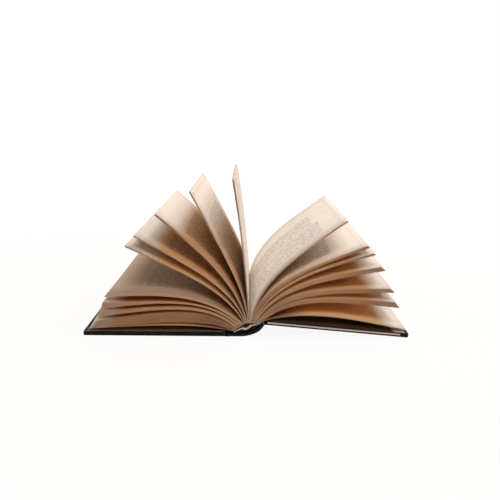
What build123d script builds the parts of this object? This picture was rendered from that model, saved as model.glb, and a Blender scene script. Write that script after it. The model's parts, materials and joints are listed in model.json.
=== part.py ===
from build123d import *
from collections import namedtuple
from math import asin, cos, degrees, radians, sin
import os

# A case-bound book standing open on its two covers, with its leaves fanned out.
# X runs across the open book, from the front cover (-X) to the back cover (+X).
# Y runs along the spine, from the tail (-Y) to the head (+Y), and Z is up.
# The origin is in the middle of the flat of the spine, where it rests on the table.

# Leaves, mm
leaf_width = 135.0
leaf_height = 205.0
back_glue_depth = 3.0

# The back of the leaves, seen from the tail, mm and degrees. From the front joint it rises
# straight, rounds over the crown, dips a little and turns up at the shoulder by the back joint.
back_inset = 4.4
back_clearance = 0.4
back_rise = 12.3
back_rise_angle = 32.7
crown_radius = 9.8
crown_angle = 40.7
dip_radius = 37.8
dip_angle = 12.4
shoulder_radius = 4.6
shoulder_angle = 76.5

# Case, mm
square = 3.0
cover_width = 135.0
board_thickness = 2.4
cloth_thickness = 0.45
pastedown_thickness = 0.2
turn_in = 15.0
joint_width = 2.6
pastedown_margin = 3.5
board_corner_radius = 2.0

# Spine, mm
spine_flat = 11.4
spine_front_radius = 34.0
spine_front_angle = 25.0
spine_back_radius = 17.5
spine_back_angle = 38.4
inlay_thickness = 0.8
spine_turn_in = 12.0

# Spine lining, mm. It is glued along the back cover's side of the back, and has come away from
# the rest in a wave: each bend is this far along the back, and this far under it.
lining_thickness = 1.1
lining_seat_gap = 0.1
lining_short_of_ends = 2.0
lining_bend_radius = 1.6
lining_wave = [(0.3, 0.95), (9.4, 2.4), (11.3, 5.3), (19.5, 2.7), (28.5, lining_seat_gap)]

# Wear along the tail edge of the back cover, mm
worn_cloth_height = 1.2
worn_corner = 8.0

# Running clearance between a cover and the spine at a joint, mm
joint_gap = 0.2

cover_height = leaf_height + 2 * square
case_thickness = board_thickness + 2 * cloth_thickness

# How far each pack of leaves has opened. A pack starts on the back between two places, measured
# along it in mm from the front joint. Each of its two faces leaves the back at one angle and
# settles to another towards the fore edge: 0 lies flat over the back cover, 90 stands upright and
# 180 lies flat over the front cover. A larger bend turns sooner after the back. The back flyleaf
# folds down over the shoulder, so its front face starts further along than its back face.
Opening = namedtuple("Opening", "leaves settles bend")
Pack = namedtuple("Pack", "back_from back_to front_face back_face")
packs = {
    "front flyleaf": Pack(0.2, 1.2, Opening(168, 183.6, 2.8), Opening(167, 183.4, 2.8)),
    "arched pack": Pack(1.2, 3.8, Opening(158, 186, 3.4), Opening(137, 189, 3.2)),
    "second pack": Pack(3.8, 6.6, Opening(134, 188, 3.2), Opening(133, 186, 3.2)),
    "third pack": Pack(6.6, 9.4, Opening(131, 187, 2.8), Opening(133, 182.6, 3.0)),
    "front page": Pack(9.4, 12.8, Opening(132, 183, 2.4), Opening(135, 184, 2.0)),
    "first loose leaf": Pack(12.8, 13.8, Opening(117, 156, 3.2), Opening(116, 156, 3.2)),
    "second loose leaf": Pack(13.8, 14.9, Opening(108.5, 152, 3.2), Opening(107.5, 152, 3.2)),
    "third loose leaf": Pack(14.9, 16.2, Opening(103.5, 141, 2.4), Opening(102, 141, 2.4)),
    "fourth loose leaf": Pack(16.0, 17.2, Opening(93.5, 119, 4.0), Opening(92.5, 119, 4.0)),
    "upright leaf": Pack(17.2, 18.4, Opening(94, 100, 1.0), Opening(93.5, 100, 1.0)),
    "fifth loose leaf": Pack(17.8, 19.2, Opening(81.5, 35, 2.6), Opening(80.5, 35, 2.6)),
    "fourth back pack": Pack(19.0, 20.6, Opening(80, 21.4, 3.2), Opening(72, 20.6, 2.8)),
    "third back pack": Pack(20.2, 22.0, Opening(71, 16.4, 2.6), Opening(67, 15.6, 2.4)),
    "second back pack": Pack(21.6, 24.0, Opening(67, 10.6, 2.8), Opening(64, 10, 3.0)),
    "first back pack": Pack(24.0, 26.2, Opening(62, 0.6, 3.0), Opening(55, 1, 3.2)),
    "back page": Pack(26.2, 28.4, Opening(56, -4.4, 3.2), Opening(45, -5.6, 3.0)),
    "back flyleaf": Pack(32.7, 31.9, Opening(16, -12, 2.2), Opening(15, -12, 2.2)),
}

# A leaf turns in one arc after another up to these shares of its width, and is straight past them.
leaf_arc_ends = [0.05, 0.11, 0.18, 0.27, 0.38, 0.52, 0.7, 0.9]


def direction(angle):
    """The unit vector (x, z) at an angle from +X."""
    return (cos(radians(angle)), sin(radians(angle)))


# The back, drawn as seen from the tail.
back_start = (-spine_flat / 2 + back_inset, case_thickness + pastedown_thickness + back_clearance)
with BuildLine() as back:
    rise = PolarLine(back_start, back_rise, angle=back_rise_angle)
    crown = JernArc(rise @ 1, rise % 1, crown_radius, -crown_angle)
    dip = JernArc(crown @ 1, crown % 1, dip_radius, dip_angle)
    JernArc(dip @ 1, dip % 1, shoulder_radius, shoulder_angle)
back_line = back.wire()


def leaf_line(distance, opening):
    """One face of a pack, from the back to the fore edge, leaf_width long."""
    place = back_line.position_at(distance, position_mode=PositionMode.LENGTH)
    heading = opening.leaves
    arc_start = 0
    with BuildLine() as face:
        for arc_end in leaf_arc_ends:
            left_to_turn = (1 - arc_end) ** opening.bend
            next_heading = opening.settles + (opening.leaves - opening.settles) * left_to_turn
            turn = next_heading - heading
            radius = leaf_width * (arc_end - arc_start) / radians(abs(turn))
            arc = JernArc(place, direction(heading), radius, turn)
            place = arc @ 1
            heading = next_heading
            arc_start = arc_end
        PolarLine(place, leaf_width * (1 - arc_start), angle=heading)
    return face.wire()


# Leaves: packs that part from one another past the glued back, as one solid.
# Sections are drawn as seen from the tail, then run from the head to the tail.
with BuildPart() as text_block:
    with BuildSketch(Plane.XZ.offset(-leaf_height / 2)):
        with BuildLine():
            add(back_line)
            offset(amount=back_glue_depth, side=Side.LEFT)
        make_face()
        for pack in packs.values():
            front_leaf = leaf_line(pack.back_from, pack.front_face)
            back_leaf = leaf_line(pack.back_to, pack.back_face)
            with BuildLine():
                add(front_leaf)
                add(back_leaf)
                Line(front_leaf @ 0, back_leaf @ 0)
                Line(front_leaf @ 1, back_leaf @ 1)
            make_face()
    extrude(amount=leaf_height)
text_block.part.label = "text_block"


def under_back(distance, drop):
    """The point this far along the back, and this far under it."""
    place = distance / back_line.length
    downward = back_line.tangent_at(place).rotate(Axis.Z, -90)
    return back_line.position_at(place) + downward * drop


# Spine lining: a strip of pale paper.
lining_bends = [under_back(distance, drop) for distance, drop in lining_wave]
lining_length = leaf_height - 2 * lining_short_of_ends
with BuildPart() as spine_lining:
    with BuildSketch(Plane.XZ.offset(-lining_length / 2)):
        with BuildLine():
            FilletPolyline(*lining_bends, radius=lining_bend_radius)
            offset(amount=lining_thickness, side=Side.RIGHT)
        make_face()
    extrude(amount=lining_length)
spine_lining.part.label = "spine_lining"


def spine_layer(depth, thickness):
    """One layer of the spine's section, this deep under its outer face."""
    with BuildSketch(Plane.XZ) as section:
        with BuildLine():
            flat = Line((-spine_flat / 2, depth), (spine_flat / 2, depth))
            front = JernArc(flat @ 1, flat % 1, spine_front_radius - depth, spine_front_angle)
            JernArc(front @ 1, front % 1, spine_back_radius - depth, spine_back_angle)
            offset(amount=thickness, side=Side.LEFT)
        make_face()
    return section.sketch


def run_along_spine(section, length):
    """The section, run evenly to both sides of the middle of the spine."""
    return extrude(section, amount=length / 2, both=True, mode=Mode.PRIVATE)


# Spine cloth: it wraps the inlay's outer face and turns in over its head and tail.
inlay_length = cover_height - 2 * cloth_thickness
inner_cloth_depth = cloth_thickness + inlay_thickness
whole_spine = spine_layer(0, inner_cloth_depth + cloth_thickness)
inlay_section = spine_layer(cloth_thickness, inlay_thickness)
lined_section = spine_layer(inner_cloth_depth, cloth_thickness)
with BuildPart() as spine_cloth:
    add(run_along_spine(whole_spine, cover_height))
    add(run_along_spine(inlay_section, inlay_length), mode=Mode.SUBTRACT)
    add(run_along_spine(lined_section, cover_height - 2 * spine_turn_in), mode=Mode.SUBTRACT)
spine_cloth.part.label = "spine_cloth"

# Spine inlay: the card strip that stiffens the spine cloth.
with BuildPart() as spine_inlay:
    add(run_along_spine(inlay_section, inlay_length))
spine_inlay.part.label = "spine_inlay"

# Each cover is built in its own plane: local X runs from the joint to the fore edge along the
# cover's outer face, local Y is the outward normal of its inner face.
with BuildLine(Plane.XZ) as spine_profile:
    profile_flat = Line((-spine_flat / 2, 0), (spine_flat / 2, 0))
    profile_front = JernArc(profile_flat @ 1, profile_flat % 1, spine_front_radius, spine_front_angle)
    profile_back = JernArc(profile_front @ 1, profile_front % 1, spine_back_radius, spine_back_angle)
spine_back_end = profile_back @ 1
back_joint_x = spine_back_end.X + 2 * joint_gap
back_joint_z = spine_back_end.Z + joint_gap
back_cover_tilt = degrees(asin(back_joint_z / cover_width))
front_joint_x = -spine_flat / 2 - joint_gap

front_cover_plane = Plane(origin=(front_joint_x, 0, 0), x_dir=(-1, 0, 0), z_dir=(0, 1, 0))
back_cover_plane = Plane(
    origin=(back_joint_x, 0, back_joint_z),
    x_dir=(cos(radians(back_cover_tilt)), 0, -sin(radians(back_cover_tilt))),
    z_dir=(0, -1, 0),
)


def layer(start, end, low, high, length):
    """A flat layer of a cover, from one distance past the joint to another, between two depths."""
    with BuildSketch() as section:
        with Locations(((start + end) / 2, (low + high) / 2)):
            Rectangle(end - start, high - low)
    return extrude(section.sketch, amount=length / 2, both=True, mode=Mode.PRIVATE)


board_start = joint_width
board_end = cover_width - cloth_thickness
board_length = cover_height - 2 * cloth_thickness
board_bottom = cloth_thickness
board_top = cloth_thickness + board_thickness
pastedown_end = cover_width - pastedown_margin
window_end = cover_width - turn_in
window_length = cover_height - 2 * turn_in

board = layer(board_start, board_end, board_bottom, board_top, board_length)
cloth_outside = layer(joint_gap, cover_width, 0, case_thickness, cover_height)
cloth_joint_gap = layer(joint_gap, board_start, board_bottom, case_thickness, cover_height)
window = layer(board_start, window_end, board_top, case_thickness, window_length)
pastedown_sheet = layer(
    board_start, pastedown_end, case_thickness, case_thickness + pastedown_thickness, leaf_height
)

# The cloth is worn off the tail edge of the back cover, up to a corner that is still whole.
worn_strip = Pos(0, 0, (cover_height - cloth_thickness) / 2) * layer(
    0, cover_width - worn_corner, worn_cloth_height, board_top, cloth_thickness
)


def cover_pieces(side, plane, worn_off):
    """The board, its cloth and its pastedown, named for their side and set in their plane."""
    with BuildPart() as cover_board:
        add(board)
        corners = cover_board.edges().filter_by(Axis.Y).group_by(Axis.X)[-1]
        fillet(corners, radius=board_corner_radius)
    with BuildPart() as cloth:
        add(cloth_outside)
        corners = cloth.edges().filter_by(Axis.Y).group_by(Axis.X)[-1]
        fillet(corners, radius=board_corner_radius + cloth_thickness)
        add(cover_board.part, mode=Mode.SUBTRACT)
        add(cloth_joint_gap, mode=Mode.SUBTRACT)
        add(window, mode=Mode.SUBTRACT)
        if worn_off is not None:
            add(worn_off, mode=Mode.SUBTRACT)
    with BuildPart() as pastedown:
        add(window)
        add(pastedown_sheet)
    pieces = {"board": cover_board, "cloth": cloth, "pastedown": pastedown}
    placed = {}
    for name, piece in pieces.items():
        solid = plane.location * piece.part
        solid.label = f"{side}_{name}"
        placed[solid.label] = solid
    return placed


finished = {}
for piece in (text_block, spine_lining, spine_cloth, spine_inlay):
    finished[piece.part.label] = piece.part
finished |= cover_pieces("front", front_cover_plane, None)
finished |= cover_pieces("back", back_cover_plane, worn_strip)

os.makedirs("parts", exist_ok=True)
for name, solid in finished.items():
    export_step(solid, f"parts/{name}.step")

print("front joint at x", round(front_joint_x, 3))
print("back joint at x, z", round(back_joint_x, 3), round(back_joint_z, 3))
print("back cover tilts by", round(back_cover_tilt, 3))
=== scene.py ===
import json
import math
import random
from collections import namedtuple

import bpy
from mathutils import Matrix, Vector


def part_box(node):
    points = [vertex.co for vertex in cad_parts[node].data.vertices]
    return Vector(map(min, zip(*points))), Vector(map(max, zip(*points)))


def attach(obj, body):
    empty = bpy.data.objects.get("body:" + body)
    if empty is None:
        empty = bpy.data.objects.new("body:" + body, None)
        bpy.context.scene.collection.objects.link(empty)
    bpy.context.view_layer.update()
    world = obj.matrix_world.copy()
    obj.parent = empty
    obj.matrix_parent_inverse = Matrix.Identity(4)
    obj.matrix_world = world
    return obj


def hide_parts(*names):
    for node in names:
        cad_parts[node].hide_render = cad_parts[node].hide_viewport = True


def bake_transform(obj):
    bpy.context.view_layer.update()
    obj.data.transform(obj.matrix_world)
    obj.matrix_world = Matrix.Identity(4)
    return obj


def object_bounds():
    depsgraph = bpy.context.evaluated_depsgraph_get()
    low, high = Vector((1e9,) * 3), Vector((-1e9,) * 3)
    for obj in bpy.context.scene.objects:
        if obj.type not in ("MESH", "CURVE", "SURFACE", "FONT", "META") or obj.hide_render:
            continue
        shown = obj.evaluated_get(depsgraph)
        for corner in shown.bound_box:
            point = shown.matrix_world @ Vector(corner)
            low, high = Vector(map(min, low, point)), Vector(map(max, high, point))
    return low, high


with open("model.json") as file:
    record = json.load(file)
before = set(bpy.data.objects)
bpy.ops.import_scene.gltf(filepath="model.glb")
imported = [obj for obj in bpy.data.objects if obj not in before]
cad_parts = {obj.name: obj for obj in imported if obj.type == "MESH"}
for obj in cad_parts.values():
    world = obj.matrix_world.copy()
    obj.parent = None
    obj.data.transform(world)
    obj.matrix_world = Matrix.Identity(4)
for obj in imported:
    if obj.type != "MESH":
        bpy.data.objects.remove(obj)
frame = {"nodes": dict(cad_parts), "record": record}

cad_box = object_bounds()

# The back of the text block: folded sections sewn side by side, rounded and glued. The folds make
# a row of small ridges along the spine, stiff with brown animal glue.
MM = 0.001
leaf_height = 205 * MM
back_start = Vector((-1.3 * MM, 3.9 * MM))
back_start_angle = math.radians(32.7)
back_bends = [(12.3 * MM, 0.0), (6.95 * MM, -40.7), (8.18 * MM, 12.4), (6.14 * MM, 76.5)]
glued_depth = 2.88 * MM
section_pitch = 1.3 * MM
fold_depth = 0.28 * MM
steps_along_back = 330
thin_glue_colour = (0.30, 0.19, 0.10, 1)
thick_glue_colour = (0.12, 0.06, 0.03, 1)


def back_place(distance):
    """The point (x, z) this far along the back from the front joint, and the back's angle there."""
    point, angle = back_start.copy(), back_start_angle
    for length, turn_degrees in back_bends:
        turn = math.radians(turn_degrees)
        share = min(max(distance / length, 0), 1)
        if turn:
            radius = length / turn
            after = angle + turn * share
            point.x += radius * (math.sin(after) - math.sin(angle))
            point.y -= radius * (math.cos(after) - math.cos(angle))
            angle = after
        else:
            point += Vector((math.cos(angle), math.sin(angle))) * length * share
        distance -= length
        if distance <= 0:
            break
    return point, angle


def put(tree, kind, inputs=None, **settings):
    """A shader node; each of its inputs is a number, a colour or another node's output."""
    made = tree.nodes.new("ShaderNode" + kind)
    for key, value in settings.items():
        setattr(made, key, value)
    for key, value in (inputs or {}).items():
        if isinstance(value, bpy.types.NodeSocket):
            tree.links.new(value, made.inputs[key])
        else:
            made.inputs[key].default_value = value
    return made


def ease(tree, value, low, high, start=0.0, end=1.0):
    """Goes smoothly from start to end as the value goes from low to high."""
    limits = {"Value": value, "From Min": low, "From Max": high, "To Min": start, "To Max": end}
    return put(tree, "MapRange", limits, interpolation_type="SMOOTHSTEP").outputs[0]


def tint(tree, share, first, second, blend="MIX"):
    """One colour laid over another by a share."""
    inputs = {0: share, 6: first, 7: second}
    return put(tree, "Mix", inputs, data_type="RGBA", blend_type=blend).outputs[2]


def start_material(name):
    """A new material that has only its output yet."""
    material = bpy.data.materials.new(name)
    material.use_nodes = True
    tree = material.node_tree
    tree.nodes.clear()
    return material, tree, put(tree, "OutputMaterial")


def place_in_mm(tree):
    """The place on the object, in millimetres."""
    place = put(tree, "TexCoord").outputs["Object"]
    return put(tree, "VectorMath", {0: place, "Scale": 1 / MM}, operation="SCALE").outputs[0]


def noise(tree, place, size_mm, detail=2.0, roughness=0.5):
    """Soft noise whose patches are about this wide."""
    inputs = {"Vector": place, "Scale": 1.0 / size_mm, "Detail": detail, "Roughness": roughness}
    return put(tree, "TexNoise", inputs).outputs[0]


def solid_strip(name, lower, upper, low_y, high_y):
    """A closed mesh between two rows of points (x, z), run along the spine."""
    outline = list(lower) + list(reversed(upper))
    count = len(outline)
    points = [(x, y, z) for y in (low_y, high_y) for x, z in outline]
    faces = []
    for number in range(count):
        after = (number + 1) % count
        faces.append((number, number + count, after + count, after))
    for number in range(len(lower) - 1):
        across = count - 1 - number
        faces.append((number, number + 1, across - 1, across))
        faces.append((number + count, across + count, across - 1 + count, number + 1 + count))
    mesh = bpy.data.meshes.new(name)
    mesh.from_pydata(points, [], faces)
    mesh.update()
    piece = bpy.data.objects.new(name, mesh)
    bpy.context.collection.objects.link(piece)
    return piece


glued_folds, tree, output = start_material("glued_section_folds")
place = place_in_mm(tree)
stains = noise(tree, place, size_mm=9.0, detail=4.0, roughness=0.6)
fibres = noise(tree, place, size_mm=0.35, detail=3.0)
colour = tint(tree, stains, thin_glue_colour, thick_glue_colour)
raised = put(tree, "Bump", {"Strength": 0.5, "Distance": 0.2 * MM, "Height": fibres}).outputs[0]
dullness = ease(tree, stains, 0.3, 0.7, start=0.75, end=0.5)
glue = put(tree, "BsdfPrincipled", {"Base Color": colour, "Roughness": dullness, "Normal": raised})
tree.links.new(glue.outputs[0], output.inputs[0])

back_length = sum(length for length, turn in back_bends)
lower_row, upper_row = [], []
for number in range(steps_along_back + 1):
    distance = back_length * number / steps_along_back
    point, angle = back_place(distance)
    inward = Vector((-math.sin(angle), math.cos(angle)))
    across_fold = (distance / section_pitch) % 1.0
    dent = fold_depth * (1 - math.sin(math.pi * across_fold)) ** 2
    lower_row.append(tuple(point + inward * dent))
    upper_row.append(tuple(point + inward * glued_depth))
sewn_back = solid_strip("sewn_back", lower_row, upper_row, -leaf_height / 2, leaf_height / 2)
sewn_back.data.materials.append(glued_folds)
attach(sewn_back, "book_block")
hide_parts("text_block")

# The leaves: thin book paper, yellowed to cream and browned along its trimmed edges. They have
# parted into packs, and each pack turns away from the back and settles towards the fore edge.
leaf_width = 135 * MM
leaf_thickness = 0.10 * MM
trim_play = 0.12 * MM
least_gap, most_gap = 0.6, 1.4
grain_shift = 3.3
leaf_steps = 36
rows_along_spine = 6
spread_seed = 7

# A pack leaves the back between two distances from the front joint, in mm. Its front and back
# leaves each turn from the angle they set out at to the one they settle at, in degrees, the sooner
# the higher the bend. The open side is the one that shows a page.
Turn = namedtuple("Turn", "sets_out settles bend")
Pack = namedtuple("Pack", "back_from back_to front_leaf back_leaf leaf_count open_side")
packs = {
    "front_flyleaf": Pack(0.2, 1.2, Turn(168, 183.6, 2.8), Turn(167, 183.4, 2.8), 3, None),
    "arched_pack": Pack(1.2, 3.8, Turn(158, 186, 3.4), Turn(137, 189, 3.2), 20, "back"),
    "second_pack": Pack(3.8, 6.6, Turn(134, 188, 3.2), Turn(133, 186, 3.2), 22, "back"),
    "third_pack": Pack(6.6, 9.4, Turn(131, 187, 2.8), Turn(133, 182.6, 3.0), 22, "back"),
    "front_page": Pack(9.4, 12.8, Turn(132, 183, 2.4), Turn(135, 184, 2.0), 26, "back"),
    "first_leaves": Pack(12.8, 13.8, Turn(117, 156, 3.2), Turn(116, 156, 3.2), 8, "back"),
    "second_leaves": Pack(13.8, 14.9, Turn(108.5, 152, 3.2), Turn(107.5, 152, 3.2), 8, "back"),
    "third_leaves": Pack(14.9, 16.2, Turn(103.5, 141, 2.4), Turn(102, 141, 2.4), 9, "back"),
    "fourth_leaves": Pack(16.0, 17.2, Turn(93.5, 119, 4.0), Turn(92.5, 119, 4.0), 8, "back"),
    "upright_leaves": Pack(17.2, 18.4, Turn(94, 100, 1.0), Turn(93.5, 100, 1.0), 8, "back"),
    "fifth_leaves": Pack(17.8, 19.2, Turn(81.5, 35, 2.6), Turn(80.5, 35, 2.6), 9, "front"),
    "fourth_back_pack": Pack(19.0, 20.6, Turn(80, 21.4, 3.2), Turn(72, 20.6, 2.8), 12, "front"),
    "third_back_pack": Pack(20.2, 22.0, Turn(71, 16.4, 2.6), Turn(67, 15.6, 2.4), 14, None),
    "second_back_pack": Pack(21.6, 24.0, Turn(67, 10.6, 2.8), Turn(64, 10, 3.0), 18, None),
    "first_back_pack": Pack(24.0, 26.2, Turn(62, 0.6, 3.0), Turn(55, 1, 3.2), 17, "front"),
    "back_page": Pack(26.2, 28.4, Turn(56, -4.4, 3.2), Turn(45, -5.6, 3.0), 17, None),
    "back_flyleaf": Pack(32.7, 31.9, Turn(16, -12, 2.2), Turn(15, -12, 2.2), 3, "front"),
}

# The lowest packs on the left lie askew, their heads this far nearer the fore edge. Every leaf is
# cockled by damp: its wave, in radians, runs from tail to head and lags towards the fore edge.
slewed_heads = {"front_flyleaf": 9.5 * MM, "arched_pack": 9.5 * MM, "second_pack": 2.0 * MM}
cockle = 0.25 * MM
wave_along_spine = 6.3
wave_lag = 2.0

paper_colour = (0.85, 0.77, 0.68, 1)
aged_colour = (0.60, 0.38, 0.22, 1)
# Painted shade: the fold colour darkens each page towards the spine, where the packs shade one
# another.
fold_shade_colour = (0.36, 0.16, 0.07, 1)
glow_tint = (1.0, 0.68, 0.42, 1)
ink_colour = (0.20, 0.22, 0.19, 1)
edge_brown_to, edge_cream_from, edge_wander = 2.0, 13.0, 6.0
edge_browning, mottling = 0.30, 0.16
fold_dark_to, fold_ends = 8.0, 52.0


def calc(tree, operation, first, second=0.0):
    """One step of arithmetic on two numbers, each plain or a node's output."""
    return put(tree, "Math", {0: first, 1: second}, operation=operation).outputs[0]


def add_paper(tree, output, colour, place, through=0.12):
    """The surface of thin paper: dull, finely fibrous, and letting some warm light through."""
    fibres = noise(tree, place, size_mm=0.45, detail=3.0, roughness=0.6)
    relief = {"Strength": 0.25, "Distance": 0.1 * MM, "Height": fibres}
    raised = put(tree, "Bump", relief).outputs[0]
    inputs = {"Base Color": colour, "Roughness": 0.85, "Normal": raised, "Specular IOR Level": 0.25}
    sheet = put(tree, "BsdfPrincipled", inputs)
    glow_colour = tint(tree, 1.0, colour, glow_tint, "MULTIPLY")
    glow = put(tree, "BsdfTranslucent", {"Color": glow_colour})
    both = put(tree, "MixShader", {0: through, 1: sheet.outputs[0], 2: glow.outputs[0]})
    tree.links.new(both.outputs[0], output.inputs[0])


def leaf_place(tree):
    """Distance from the back, distance from the tail and place in the pack, in millimetres."""
    return put(tree, "Attribute", attribute_name="leaf_place").outputs["Vector"]


def aged_and_shaded_paper(tree, place, page):
    """Cream paper, toned brown from its trimmed edges and mottled all over, with painted shade
    darkening it inward from the back and most at the fold.
    """
    axes = put(tree, "SeparateXYZ", {0: place})
    from_back, from_tail = axes.outputs[0], axes.outputs[1]
    to_fore_edge = calc(tree, "SUBTRACT", leaf_width / MM, from_back)
    to_head = calc(tree, "SUBTRACT", leaf_height / MM, from_tail)
    to_end = calc(tree, "MINIMUM", from_tail, to_head)
    to_edge = calc(tree, "MINIMUM", to_end, to_fore_edge)
    blotches = noise(tree, place, size_mm=22.0, detail=3.0, roughness=0.55)
    wandering = calc(tree, "ADD", to_edge, calc(tree, "MULTIPLY", blotches, edge_wander))
    browned_edge = ease(tree, wandering, edge_brown_to, edge_cream_from, edge_browning, 0.0)
    mottled = ease(tree, blotches, 0.35, 0.8, end=mottling)
    yellowed = tint(tree, calc(tree, "ADD", browned_edge, mottled), paper_colour, aged_colour)
    # Painted shade: the page darkens inward from the back where the leaves above shade it, and most
    # at the fold.
    inner_shade = ease(tree, from_back, page.brown_to, page.cream_from, start=page.browning, end=0.0)
    inward_shaded = tint(tree, inner_shade, yellowed, page.brown)
    fold_shade = ease(tree, from_back, fold_dark_to, fold_ends, start=page.browning, end=0.0)
    return tint(tree, fold_shade, inward_shaded, fold_shade_colour), from_back, from_tail


# A page's painted shade, for the part the leaves above shade: its brown, how strong it is, how far
# from the back it reaches and where the page is cream again, in mm. Then the strength of its print,
# and the fields of it, in mm from back and tail.
shade_tan = (0.76, 0.46, 0.23, 1)
deep_shade_brown = (0.34, 0.12, 0.05, 1)
shaded = (0.50, 0.36, 0.24, 1)
bright_shade_orange = (1.0, 0.64, 0.33, 1)
Page = namedtuple("Page", "brown browning brown_to cream_from ink fields")
# Every other leaf face gets the same painted shade on its inner part.
plain_page = Page(shade_tan, 1.0, 109, 125, 0.0, [])
open_pages = {
    "arched_pack": Page(deep_shade_brown, 1.0, 110, 133, 0.0, []),
    "second_pack": Page(deep_shade_brown, 1.0, 110, 133, 0.0, []),
    "third_pack": Page(deep_shade_brown, 1.0, 110, 133, 0.0, []),
    "front_page": Page(shaded, 0.95, 110, 190, 0.8, [(16, 104, 24, 178)]),
    "first_leaves": Page(shade_tan, 1.0, 88, 118, 0.75, [(16, 98, 26, 176)]),
    "second_leaves": Page(shade_tan, 1.0, 102, 121, 0.75, [(16, 104, 24, 180)]),
    "third_leaves": Page(shade_tan, 1.0, 96, 116, 0.75, [(16, 104, 24, 180)]),
    "fourth_leaves": Page(shade_tan, 0.85, 40, 105, 0.45, [(16, 104, 24, 180)]),
    "upright_leaves": Page(shade_tan, 0.0, 10, 20, 0.0, []),
    "fifth_leaves": Page(shade_tan, 0.0, 10, 20, 0.5, [(14, 112, 24, 88), (14, 106, 92, 150)]),
    "fourth_back_pack": Page(shade_tan, 0.2, 30, 95, 0.5, [(14, 104, 24, 150)]),
    "first_back_pack": Page(shade_tan, 1.0, 109, 125, 0.75, [(60, 96, 26, 34)]),
    "back_flyleaf": Page(bright_shade_orange, 1.0, 104, 122, 0.0, []),
}
line_pitch = 4.1
word_size = 1.7
word_starts, word_is_dark = 0.42, 0.50
line_starts, line_is_dark = 0.40, 0.28
shift_between_lines = 37.7


def page_paper(name, page):
    """Book paper with the page's painted shade and its fields of line-like marks."""
    material, tree, output = start_material(name)
    place = leaf_place(tree)
    colour, from_back, from_tail = aged_and_shaded_paper(tree, place, page)
    if page.fields:
        lines = calc(tree, "DIVIDE", from_tail, line_pitch)
        shifted = calc(tree, "MULTIPLY", calc(tree, "FLOOR", lines), shift_between_lines)
        along = put(tree, "CombineXYZ", {0: from_back, 1: shifted}).outputs[0]
        dotted = noise(tree, along, word_size, detail=1.0)
        words = ease(tree, dotted, word_starts, word_is_dark)
        off_line = calc(tree, "ABSOLUTE", calc(tree, "SUBTRACT", calc(tree, "FRACT", lines), 0.5))
        in_line = ease(tree, off_line, line_starts, line_is_dark)
        marks = calc(tree, "MULTIPLY", words, in_line)
        inside = 0.0
        for back_from, back_to, tail_from, tail_to in page.fields:
            field = calc(tree, "GREATER_THAN", from_back, back_from)
            field = calc(tree, "MULTIPLY", field, calc(tree, "LESS_THAN", from_back, back_to))
            field = calc(tree, "MULTIPLY", field, calc(tree, "GREATER_THAN", from_tail, tail_from))
            field = calc(tree, "MULTIPLY", field, calc(tree, "LESS_THAN", from_tail, tail_to))
            inside = calc(tree, "MAXIMUM", inside, field)
        inked = calc(tree, "MULTIPLY", calc(tree, "MULTIPLY", marks, inside), page.ink)
        colour = tint(tree, inked, colour, ink_colour)
    add_paper(tree, output, colour, place)
    return material


# The trimmed edges: dusty brown, a colour that also stands in for the shade on the tail edges, and
# a lighter tan on the fanned packs.
dusty_shaded_edge = (0.66, 0.44, 0.28, 1)
# Painted shade: edges darken towards the fore edge, on its shaded side.
fore_end_shade = (0.34, 0.12, 0.05, 1)
# Painted light: edges paler where the lamps fall on them.
lit_edge_colour = (0.88, 0.72, 0.60, 1)
fanned_edge = (0.74, 0.57, 0.44, 1)
dust_colour = (0.34, 0.17, 0.08, 1)
clean_edge = (0.78, 0.54, 0.34, 1)
# Where the painted shade towards the fore edge starts and where it is full, in mm from the back.
fore_shade_starts, fore_shade_full_from = 82.0, 128.0
dustiness, single_leaf_contrast = 0.5, 0.3


def leaf_edges(name, at_back, at_fore_edge):
    """Trimmed leaf edges side by side, with random dust, going over from the back's colour to the
    fore edge's, which is painted shade on most packs.
    """
    material, tree, output = start_material(name)
    place = leaf_place(tree)
    from_back = put(tree, "SeparateXYZ", {0: place}).outputs[0]
    dust = noise(tree, place, size_mm=7.0, detail=4.0, roughness=0.6)
    single_leaves = noise(tree, place, size_mm=0.8, detail=1.0)
    # Painted shade towards the fore edge.
    fore_shade = ease(tree, from_back, fore_shade_starts, fore_shade_full_from)
    colour = tint(tree, fore_shade, at_back, at_fore_edge)
    dusty = calc(tree, "MULTIPLY", dust, dustiness)
    colour = tint(tree, dusty, colour, dust_colour)
    parted = calc(tree, "MULTIPLY", single_leaves, single_leaf_contrast)
    colour = tint(tree, parted, colour, clean_edge)
    add_paper(tree, output, colour, place, through=0.1)
    return material


plain_paper = page_paper("book_paper", plain_page)
trimmed_edges = leaf_edges("trimmed_leaf_edges", dusty_shaded_edge, dusty_shaded_edge)
fore_shaded_edges = leaf_edges("fore_shaded_leaf_edges", dusty_shaded_edge, fore_end_shade)
# Painted light: pale fore edges on the lowest left packs, and pale edges at the back of the top
# right pack.
lit_fore_edges = leaf_edges("lit_fore_edges", lit_edge_colour, lit_edge_colour)
lit_section_edges = leaf_edges("lit_section_edges", lit_edge_colour, fore_end_shade)
fanned_edges = leaf_edges("fanned_leaf_edges", fanned_edge, fore_end_shade)
packs_with_lit_fore_edges = ("front_flyleaf", "arched_pack")

# Packs that settle below the first angle, in degrees, lie to the right, and above the second to
# the left. Those between stand up.
lies_right_below, lies_left_above = 90, 160


def edge_paper(name, pack):
    """The finish of a pack's tail and head edges."""
    # The top right pack's edges are painted as lit at the back; it, the packs lying right and the
    # fanned ones darken towards the fore edge as painted shade.
    if name == "fifth_leaves":
        return lit_section_edges
    if pack.front_leaf.settles < lies_right_below:
        return fore_shaded_edges
    if pack.front_leaf.settles < lies_left_above:
        return fanned_edges
    return trimmed_edges


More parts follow.
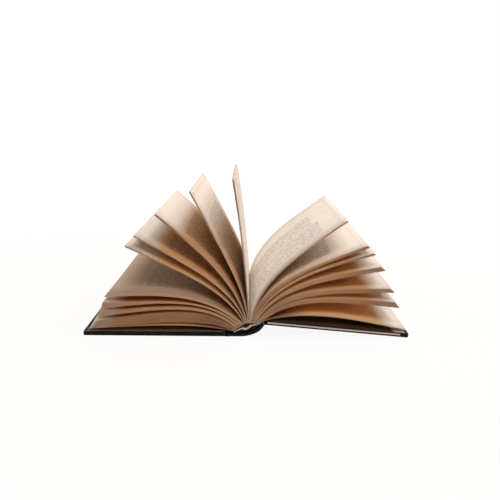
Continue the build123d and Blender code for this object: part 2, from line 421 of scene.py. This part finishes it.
def heading_along(turn, share):
    """A leaf's angle at this share of its width, in radians from +X."""
    left_to_turn = (1 - share) ** turn.bend
    return math.radians(turn.settles + (turn.sets_out - turn.settles) * left_to_turn)


def leaf_line(pack, between, width):
    """Points (x, z) from the back to the fore edge of the leaf that lies this far into its pack."""
    distance = (pack.back_from + (pack.back_to - pack.back_from) * between) * MM
    spot = back_place(distance)[0]
    spots, headings = [spot], []
    for step in range(leaf_steps):
        share = (step + 0.5) / leaf_steps
        front = heading_along(pack.front_leaf, share)
        heading = front + (heading_along(pack.back_leaf, share) - front) * between
        spot = spot + Vector((math.cos(heading), math.sin(heading))) * (width / leaf_steps)
        spots.append(spot)
        headings.append(heading)
    return list(zip(spots, headings[:1] + headings))


def leaf_points(line, slew, trim):
    """The points of a leaf's two faces, front face first, and the place of each on the leaf."""
    points, places = [], []
    for side in (-0.5, 0.5):
        for number, (spot, heading) in enumerate(line):
            normal = Vector((math.sin(heading), -math.cos(heading)))
            along = Vector((math.cos(heading), math.sin(heading)))
            share = number / leaf_steps
            for row in range(rows_along_spine + 1):
                up = row / rows_along_spine
                wave = cockle * share ** 2 * math.sin(wave_along_spine * up + wave_lag * share)
                off_line = normal * (side * leaf_thickness + wave) + along * (slew * share * up)
                y = leaf_height * (up - 0.5) + trim
                points.append((spot.x + off_line.x, y, spot.y + off_line.y))
                places.append((share * leaf_width / MM, up * leaf_height / MM))
    return points, places


def leaf_faces(first, face_kinds):
    """The faces of one closed leaf whose points start at this number, and the kind of each."""
    per_line = rows_along_spine + 1
    per_side = per_line * (leaf_steps + 1)
    faces, kinds = [], []
    for side in (0, 1):
        for step in range(leaf_steps):
            for row in range(rows_along_spine):
                here = first + side * per_side + step * per_line + row
                quad = (here, here + 1, here + per_line + 1, here + per_line)
                faces.append(quad if side else quad[::-1])
                kinds.append(face_kinds[side])
    for step in range(leaf_steps):
        for row in (0, rows_along_spine):
            here = first + step * per_line + row
            across = here + per_side
            quad = (here, here + per_line, across + per_line, across)
            faces.append(quad if row else quad[::-1])
            kinds.append("cut_edge")
    for step in (0, leaf_steps):
        for row in range(rows_along_spine):
            here = first + step * per_line + row
            across = here + per_side
            quad = (here, across, across + 1, here + 1)
            faces.append(quad if step else quad[::-1])
            kinds.append("fore_edge" if step else "cut_edge")
    return faces, kinds


def build_pack(name, pack, draw):
    """All leaves of one pack, each a thin closed sheet, in one mesh."""
    gaps = [draw.uniform(least_gap, most_gap) for _ in range(pack.leaf_count + 1)]
    points, places, faces, kinds = [], [], [], []
    for leaf in range(pack.leaf_count):
        between = sum(gaps[: leaf + 1]) / sum(gaps)
        trim = draw.uniform(-trim_play, trim_play)
        width = leaf_width - draw.uniform(0, 2 * trim_play)
        is_first, is_last = leaf == 0, leaf == pack.leaf_count - 1
        front_kind = "open_page" if is_first and pack.open_side == "front" else "paper"
        back_kind = "open_page" if is_last and pack.open_side == "back" else "paper"
        more_faces, more_kinds = leaf_faces(len(points), (front_kind, back_kind))
        line = leaf_line(pack, between, width)
        more_points, more_places = leaf_points(line, slewed_heads.get(name, 0.0), trim)
        points += more_points
        places += [(*place, leaf * grain_shift) for place in more_places]
        faces += more_faces
        kinds += more_kinds
    mesh = bpy.data.meshes.new(name)
    mesh.from_pydata(points, [], faces)
    place_of_leaf = mesh.attributes.new("leaf_place", "FLOAT_VECTOR", "POINT")
    place_of_leaf.data.foreach_set("vector", [value for place in places for value in place])
    papers = {"paper": plain_paper, "cut_edge": edge_paper(name, pack)}
    papers["open_page"] = plain_paper
    if name in open_pages:
        papers["open_page"] = page_paper(name + "_page", open_pages[name])
    papers["fore_edge"] = papers["cut_edge"]
    if name in packs_with_lit_fore_edges:
        papers["fore_edge"] = lit_fore_edges
    for paper in papers.values():
        mesh.materials.append(paper)
    order = list(papers)
    mesh.polygons.foreach_set("material_index", [order.index(kind) for kind in kinds])
    mesh.polygons.foreach_set("use_smooth", [kind in ("paper", "open_page") for kind in kinds])
    mesh.update()
    piece = bpy.data.objects.new(name, mesh)
    bpy.context.collection.objects.link(piece)
    return piece


draw = random.Random(spread_seed)
for name, pack in packs.items():
    piece = build_pack(name, pack, draw)
    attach(piece, "book_block")
    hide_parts("text_block")

# The spine lining: a strip of pale strong paper pasted along the back. It has let go of the folds
# between its two edges and hangs in a wave inside the hollow of the spine.
lining_colour = (0.94, 0.88, 0.80, 1)
lining_mark_colour = (0.62, 0.48, 0.36, 1)


def finish_nodes(names, material):
    """Gives the CAD solids of these names their material."""
    for name in names:
        slots = frame["nodes"][name].data.materials
        slots.clear()
        slots.append(material)


lining_paper, tree, output = start_material("spine_lining_paper")
place = place_in_mm(tree)
marks = noise(tree, place, size_mm=6.0, detail=4.0, roughness=0.6)
colour = tint(tree, ease(tree, marks, 0.5, 0.9), lining_colour, lining_mark_colour)
add_paper(tree, output, colour, place, through=0.08)
finish_nodes(["spine_lining"], lining_paper)

# The front pastedown: the outer leaf of the endpaper, pasted inside its board over the cloth's
# turn-ins. It is coloured dark brown all over as painted shade, and darker in random patches.
endpaper_shade_colour = (0.20, 0.14, 0.09, 1)
deeper_endpaper_shade_colour = (0.12, 0.08, 0.05, 1)
endpaper, tree, output = start_material("endpaper")
place = place_in_mm(tree)
shade_patches = noise(tree, place, size_mm=14.0, detail=4.0, roughness=0.6)
colour = tint(tree, ease(tree, shade_patches, 0.35, 0.8), endpaper_shade_colour, deeper_endpaper_shade_colour)
add_paper(tree, output, colour, place, through=0.05)
finish_nodes(["front_pastedown"], endpaper)

# The back pastedown: the same endpaper, coloured near black as painted shade nearly to its fore
# edge, where a pale margin is left.
margin_starts, margin_is_pale = 13.0, 7.0
dark_painted_shade = (0.045, 0.022, 0.013, 1)
lighter_painted_shade = (0.085, 0.042, 0.025, 1)
shaded_back_endpaper, tree, output = start_material("shaded_back_endpaper")
place = place_in_mm(tree)
from_spine = put(tree, "SeparateXYZ", {0: place}).outputs[0]
shade_mottle = noise(tree, place, size_mm=12.0, detail=4.0, roughness=0.6)
back_shade = tint(tree, shade_mottle, dark_painted_shade, lighter_painted_shade)
fore_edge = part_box("back_pastedown")[1][0] / MM
margin = ease(tree, from_spine, fore_edge - margin_starts, fore_edge - margin_is_pale)
colour = tint(tree, margin, back_shade, lit_edge_colour)
add_paper(tree, output, colour, place, through=0.0)
finish_nodes(["back_pastedown"], shaded_back_endpaper)

# The boards and the spine's inlay: pressed grey board, seen only where the cloth has worn away.
# It is pulp in flat layers, with darker flecks of what it was made from.
pale_pulp_colour = (0.88, 0.75, 0.68, 1)
dark_pulp_colour = (0.62, 0.50, 0.44, 1)
fleck_colour = (0.22, 0.17, 0.14, 1)
layer_stretch = (0.15, 0.15, 3.0)
grey_board, tree, output = start_material("grey_board")
place = place_in_mm(tree)
layers = put(tree, "Mapping", {"Vector": place, "Scale": layer_stretch}).outputs[0]
pulp = noise(tree, layers, size_mm=1.0, detail=4.0, roughness=0.7)
flecks = noise(tree, place, size_mm=0.6)
colour = tint(tree, pulp, pale_pulp_colour, dark_pulp_colour)
colour = tint(tree, ease(tree, flecks, 0.62, 0.72, end=0.5), colour, fleck_colour)
raised = put(tree, "Bump", {"Strength": 0.6, "Distance": 0.3 * MM, "Height": flecks}).outputs[0]
board = put(tree, "BsdfPrincipled", {"Base Color": colour, "Roughness": 0.9, "Normal": raised})
tree.links.new(board.outputs[0], output.inputs[0])
finish_nodes(["front_board", "back_board", "spine_inlay"], grey_board)

# The case's cloth: black starched cotton, one piece over both boards and the spine on the real
# book. In patches hands have rubbed it greyer, and there it shines a little.
thread_pitch = 0.55
black_cloth_colour = (0.005, 0.0042, 0.0035, 1)
rubbed_cloth_colour = (0.018, 0.015, 0.0125, 1)
thread_wander = 0.5
most_greyed = 0.6
book_cloth, tree, output = start_material("black_book_cloth")
place = place_in_mm(tree)
axes = put(tree, "SeparateXYZ", {0: place})
wander = calc(tree, "MULTIPLY", noise(tree, place, size_mm=3.0, detail=1.0), thread_wander)
threads = []
for axis in (0, 1):
    turns = calc(tree, "MULTIPLY", axes.outputs[axis], math.tau / thread_pitch)
    threads.append(calc(tree, "SINE", calc(tree, "ADD", turns, wander)))
weave = calc(tree, "ADD", calc(tree, "MULTIPLY", threads[0], threads[1]), 1.0)
rubbed = ease(tree, noise(tree, place, size_mm=16.0, detail=4.0, roughness=0.65), 0.45, 0.75)
greyed = calc(tree, "MULTIPLY", rubbed, most_greyed)
colour = tint(tree, greyed, black_cloth_colour, rubbed_cloth_colour)
raised = put(tree, "Bump", {"Strength": 0.5, "Distance": 0.1 * MM, "Height": weave}).outputs[0]
cloth = put(
    tree,
    "BsdfPrincipled",
    {
        "Base Color": colour,
        "Roughness": ease(tree, rubbed, 0.0, 1.0, start=0.72, end=0.5),
        "Normal": raised,
        "Specular IOR Level": 0.1,
        "Sheen Weight": 0.02,
        "Sheen Roughness": 0.4,
        "Sheen Tint": (0.7, 0.66, 0.62, 1),
    },
)
tree.links.new(cloth.outputs[0], output.inputs[0])
finish_nodes(["front_cloth", "back_cloth", "spine_cloth"], book_cloth)

# The joints: the same cloth, unbroken from the spine to each board, is the hinge of each cover.
# It bends in a narrow strip along the hinge's line.
joint_reach = 1.6 * MM
joint_steps = 7
joint_gap = 0.2 * MM
joint_cloth_thickness = 0.42 * MM
proud = 0.05 * MM
spine_end_angle = math.radians(63.4)
cover_width = 135 * MM
cover_low_y, cover_high_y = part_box("front_cloth")[0][1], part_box("front_cloth")[1][1]


def joint_strip(name, spine_end, spine_angle, cover_start, cover_angle):
    """Cloth from the spine's edge to the cover's, a little proud of both outer faces."""
    outer, inner = [], []
    for end, angle, direction in ((spine_end, spine_angle, -1), (cover_start, cover_angle, 1)):
        along = Vector((math.cos(angle), math.sin(angle)))
        outward = Vector((along.y, -along.x))
        for step in range(joint_steps):
            share = step / (joint_steps - 1)
            run = joint_reach * ((1 - share) if direction < 0 else share)
            spot = end + along * run * direction
            outer.append(tuple(spot + outward * proud))
            inner.append(tuple(spot - outward * (joint_cloth_thickness - proud)))
    if outer[0][0] > outer[-1][0]:
        outer.reverse()
        inner.reverse()
    strip = solid_strip(name, outer, inner, cover_low_y, cover_high_y)
    strip.data.materials.append(book_cloth)
    start, end = (spine_end.x, 0, spine_end.y), (cover_start.x, 0, cover_start.y)
    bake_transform(strip)


joints = {joint["name"]: joint for joint in frame["record"]["behaviour"]["joints"]}
hinge = Vector(joints["front_cover_hinge"]["pos_m"])
spine_end = Vector((hinge.x + joint_gap, 0))
cover_start = Vector((hinge.x - joint_gap, 0))
joint_strip("front_joint_cloth", spine_end, math.pi, cover_start, math.pi)

hinge = Vector(joints["back_cover_hinge"]["pos_m"])
cover_angle = -math.asin(hinge.z / cover_width)
along_cover = Vector((math.cos(cover_angle), math.sin(cover_angle)))
spine_end = Vector((hinge.x - 2 * joint_gap, hinge.z - joint_gap))
cover_start = Vector((hinge.x, hinge.z)) + along_cover * joint_gap
joint_strip(
    "back_joint_cloth", spine_end, spine_end_angle, cover_start, cover_angle
)

# The table it stands on: a plain white sweep that takes the book's shadow. To the eye it glows
# white, and more so farther off, so that it has no horizon.
floor_reach = 6.0
floor_z = cad_box[0].z - 0.2 * MM
warm_white = (0.80, 0.71, 0.62, 1)
plain_white = (1, 1, 1, 1)
shadow_reach, white_from = 250.0, 700.0
glow_near_book = 0.92
floor_mesh = bpy.data.meshes.new("white_floor")
floor_corners = [(-1, -1), (1, -1), (1, 1), (-1, 1)]
floor_points = [(x * floor_reach, y * floor_reach, floor_z) for x, y in floor_corners]
floor_mesh.from_pydata(floor_points, [], [(0, 1, 2, 3)])
floor = bpy.data.objects.new("white_floor", floor_mesh)
bpy.context.collection.objects.link(floor)


def seen_directly(tree):
    """1 for what the camera sees, straight or in gloss or glass, and 0 for light on its way."""
    rays = put(tree, "LightPath")
    seen = calc(tree, "MAXIMUM", rays.outputs["Is Camera Ray"], rays.outputs["Is Glossy Ray"])
    return calc(tree, "MAXIMUM", seen, rays.outputs["Is Transmission Ray"])


white_paint, tree, output = start_material("white_paint")
matt = put(tree, "BsdfDiffuse", {"Color": warm_white})
white = put(tree, "Emission", {"Color": plain_white, "Strength": 1.0})
from_book = put(tree, "VectorMath", {0: place_in_mm(tree)}, operation="LENGTH").outputs["Value"]
glowing = ease(tree, from_book, shadow_reach, white_from, start=glow_near_book, end=1.0)
share = calc(tree, "MULTIPLY", seen_directly(tree), glowing)
both = put(tree, "MixShader", {0: share, 1: matt.outputs[0], 2: white.outputs[0]})
tree.links.new(both.outputs[0], output.inputs[0])
floor_mesh.materials.append(white_paint)

# Soft studio light: a main lamp high behind the right shoulder, softboxes right and behind, and
# weak fills from the left and the front. The room itself is white to the eye and a little warm.
room_light = 0.10
room_colour = (1.0, 0.80, 0.62, 1)
world = bpy.data.worlds.new("white_room")
bpy.context.scene.world = world
world.use_nodes = True
tree = world.node_tree
tree.nodes.clear()
seen = seen_directly(tree)
level = ease(tree, seen, 0.0, 1.0, start=room_light, end=1.0)
hue = tint(tree, seen, room_colour, plain_white)
room = put(tree, "Background", {"Color": hue, "Strength": level})
tree.links.new(room.outputs[0], put(tree, "OutputWorld").inputs[0])

# Each lamp's tilt from straight above and its turn around the book, in degrees, and its watts.
Lamp = namedtuple("Lamp", "tilt around power")
lamps = {
    "main_lamp": Lamp(25, 135, 9.6),
    "right_softbox": Lamp(42, 90, 7.8),
    "rear_softbox": Lamp(42, 180, 7.0),
    "left_fill": Lamp(62, 270, 4.4),
    "front_fill": Lamp(50, 0, 7.2),
}
lamp_reach = 1.4
lamp_size = 0.5
middle_of_book = Vector((0.01, 0.0, 0.06))
for name, lamp in lamps.items():
    tilt, around = math.radians(lamp.tilt), math.radians(lamp.around)
    towards = Vector(
        (math.sin(tilt) * math.sin(around), -math.sin(tilt) * math.cos(around), math.cos(tilt))
    )
    light = bpy.data.lights.new(name, "AREA")
    light.shape = "SQUARE"
    light.size = lamp_size
    light.energy = lamp.power
    holder = bpy.data.objects.new(name, light)
    holder.location = middle_of_book + towards * lamp_reach
    holder.rotation_euler = (-towards).to_track_quat("-Z", "Y").to_euler()
    bpy.context.collection.objects.link(holder)

# The camera: in front of the tail and a little above it, as the photograph was taken. Its lens
# shows the book small in the middle of a wide white frame.
camera_place = Vector((0.0118, -0.7552, 0.2040))
pitch, yaw, roll = math.radians(10.62), math.radians(0.22), math.radians(0.51)
focal_pixels = 723.6
frame_pixels = 500
sensor_width = 36.0
lens = bpy.data.cameras.new("camera")
lens.sensor_width = sensor_width
lens.lens = focal_pixels / frame_pixels * sensor_width
camera = bpy.data.objects.new("camera", lens)
ahead = Vector((math.sin(yaw) * math.cos(pitch), math.cos(yaw) * math.cos(pitch), -math.sin(pitch)))
right = Vector((math.cos(yaw), -math.sin(yaw), 0))
up = right.cross(ahead)
rolled_right = right * math.cos(roll) + up * math.sin(roll)
rolled_up = up * math.cos(roll) - right * math.sin(roll)
turned = Matrix((rolled_right, rolled_up, -ahead)).transposed()
camera.matrix_world = Matrix.Translation(camera_place) @ turned.to_4x4()
bpy.context.collection.objects.link(camera)
bpy.context.scene.camera = camera
bpy.context.scene.view_settings.view_transform = "Standard"
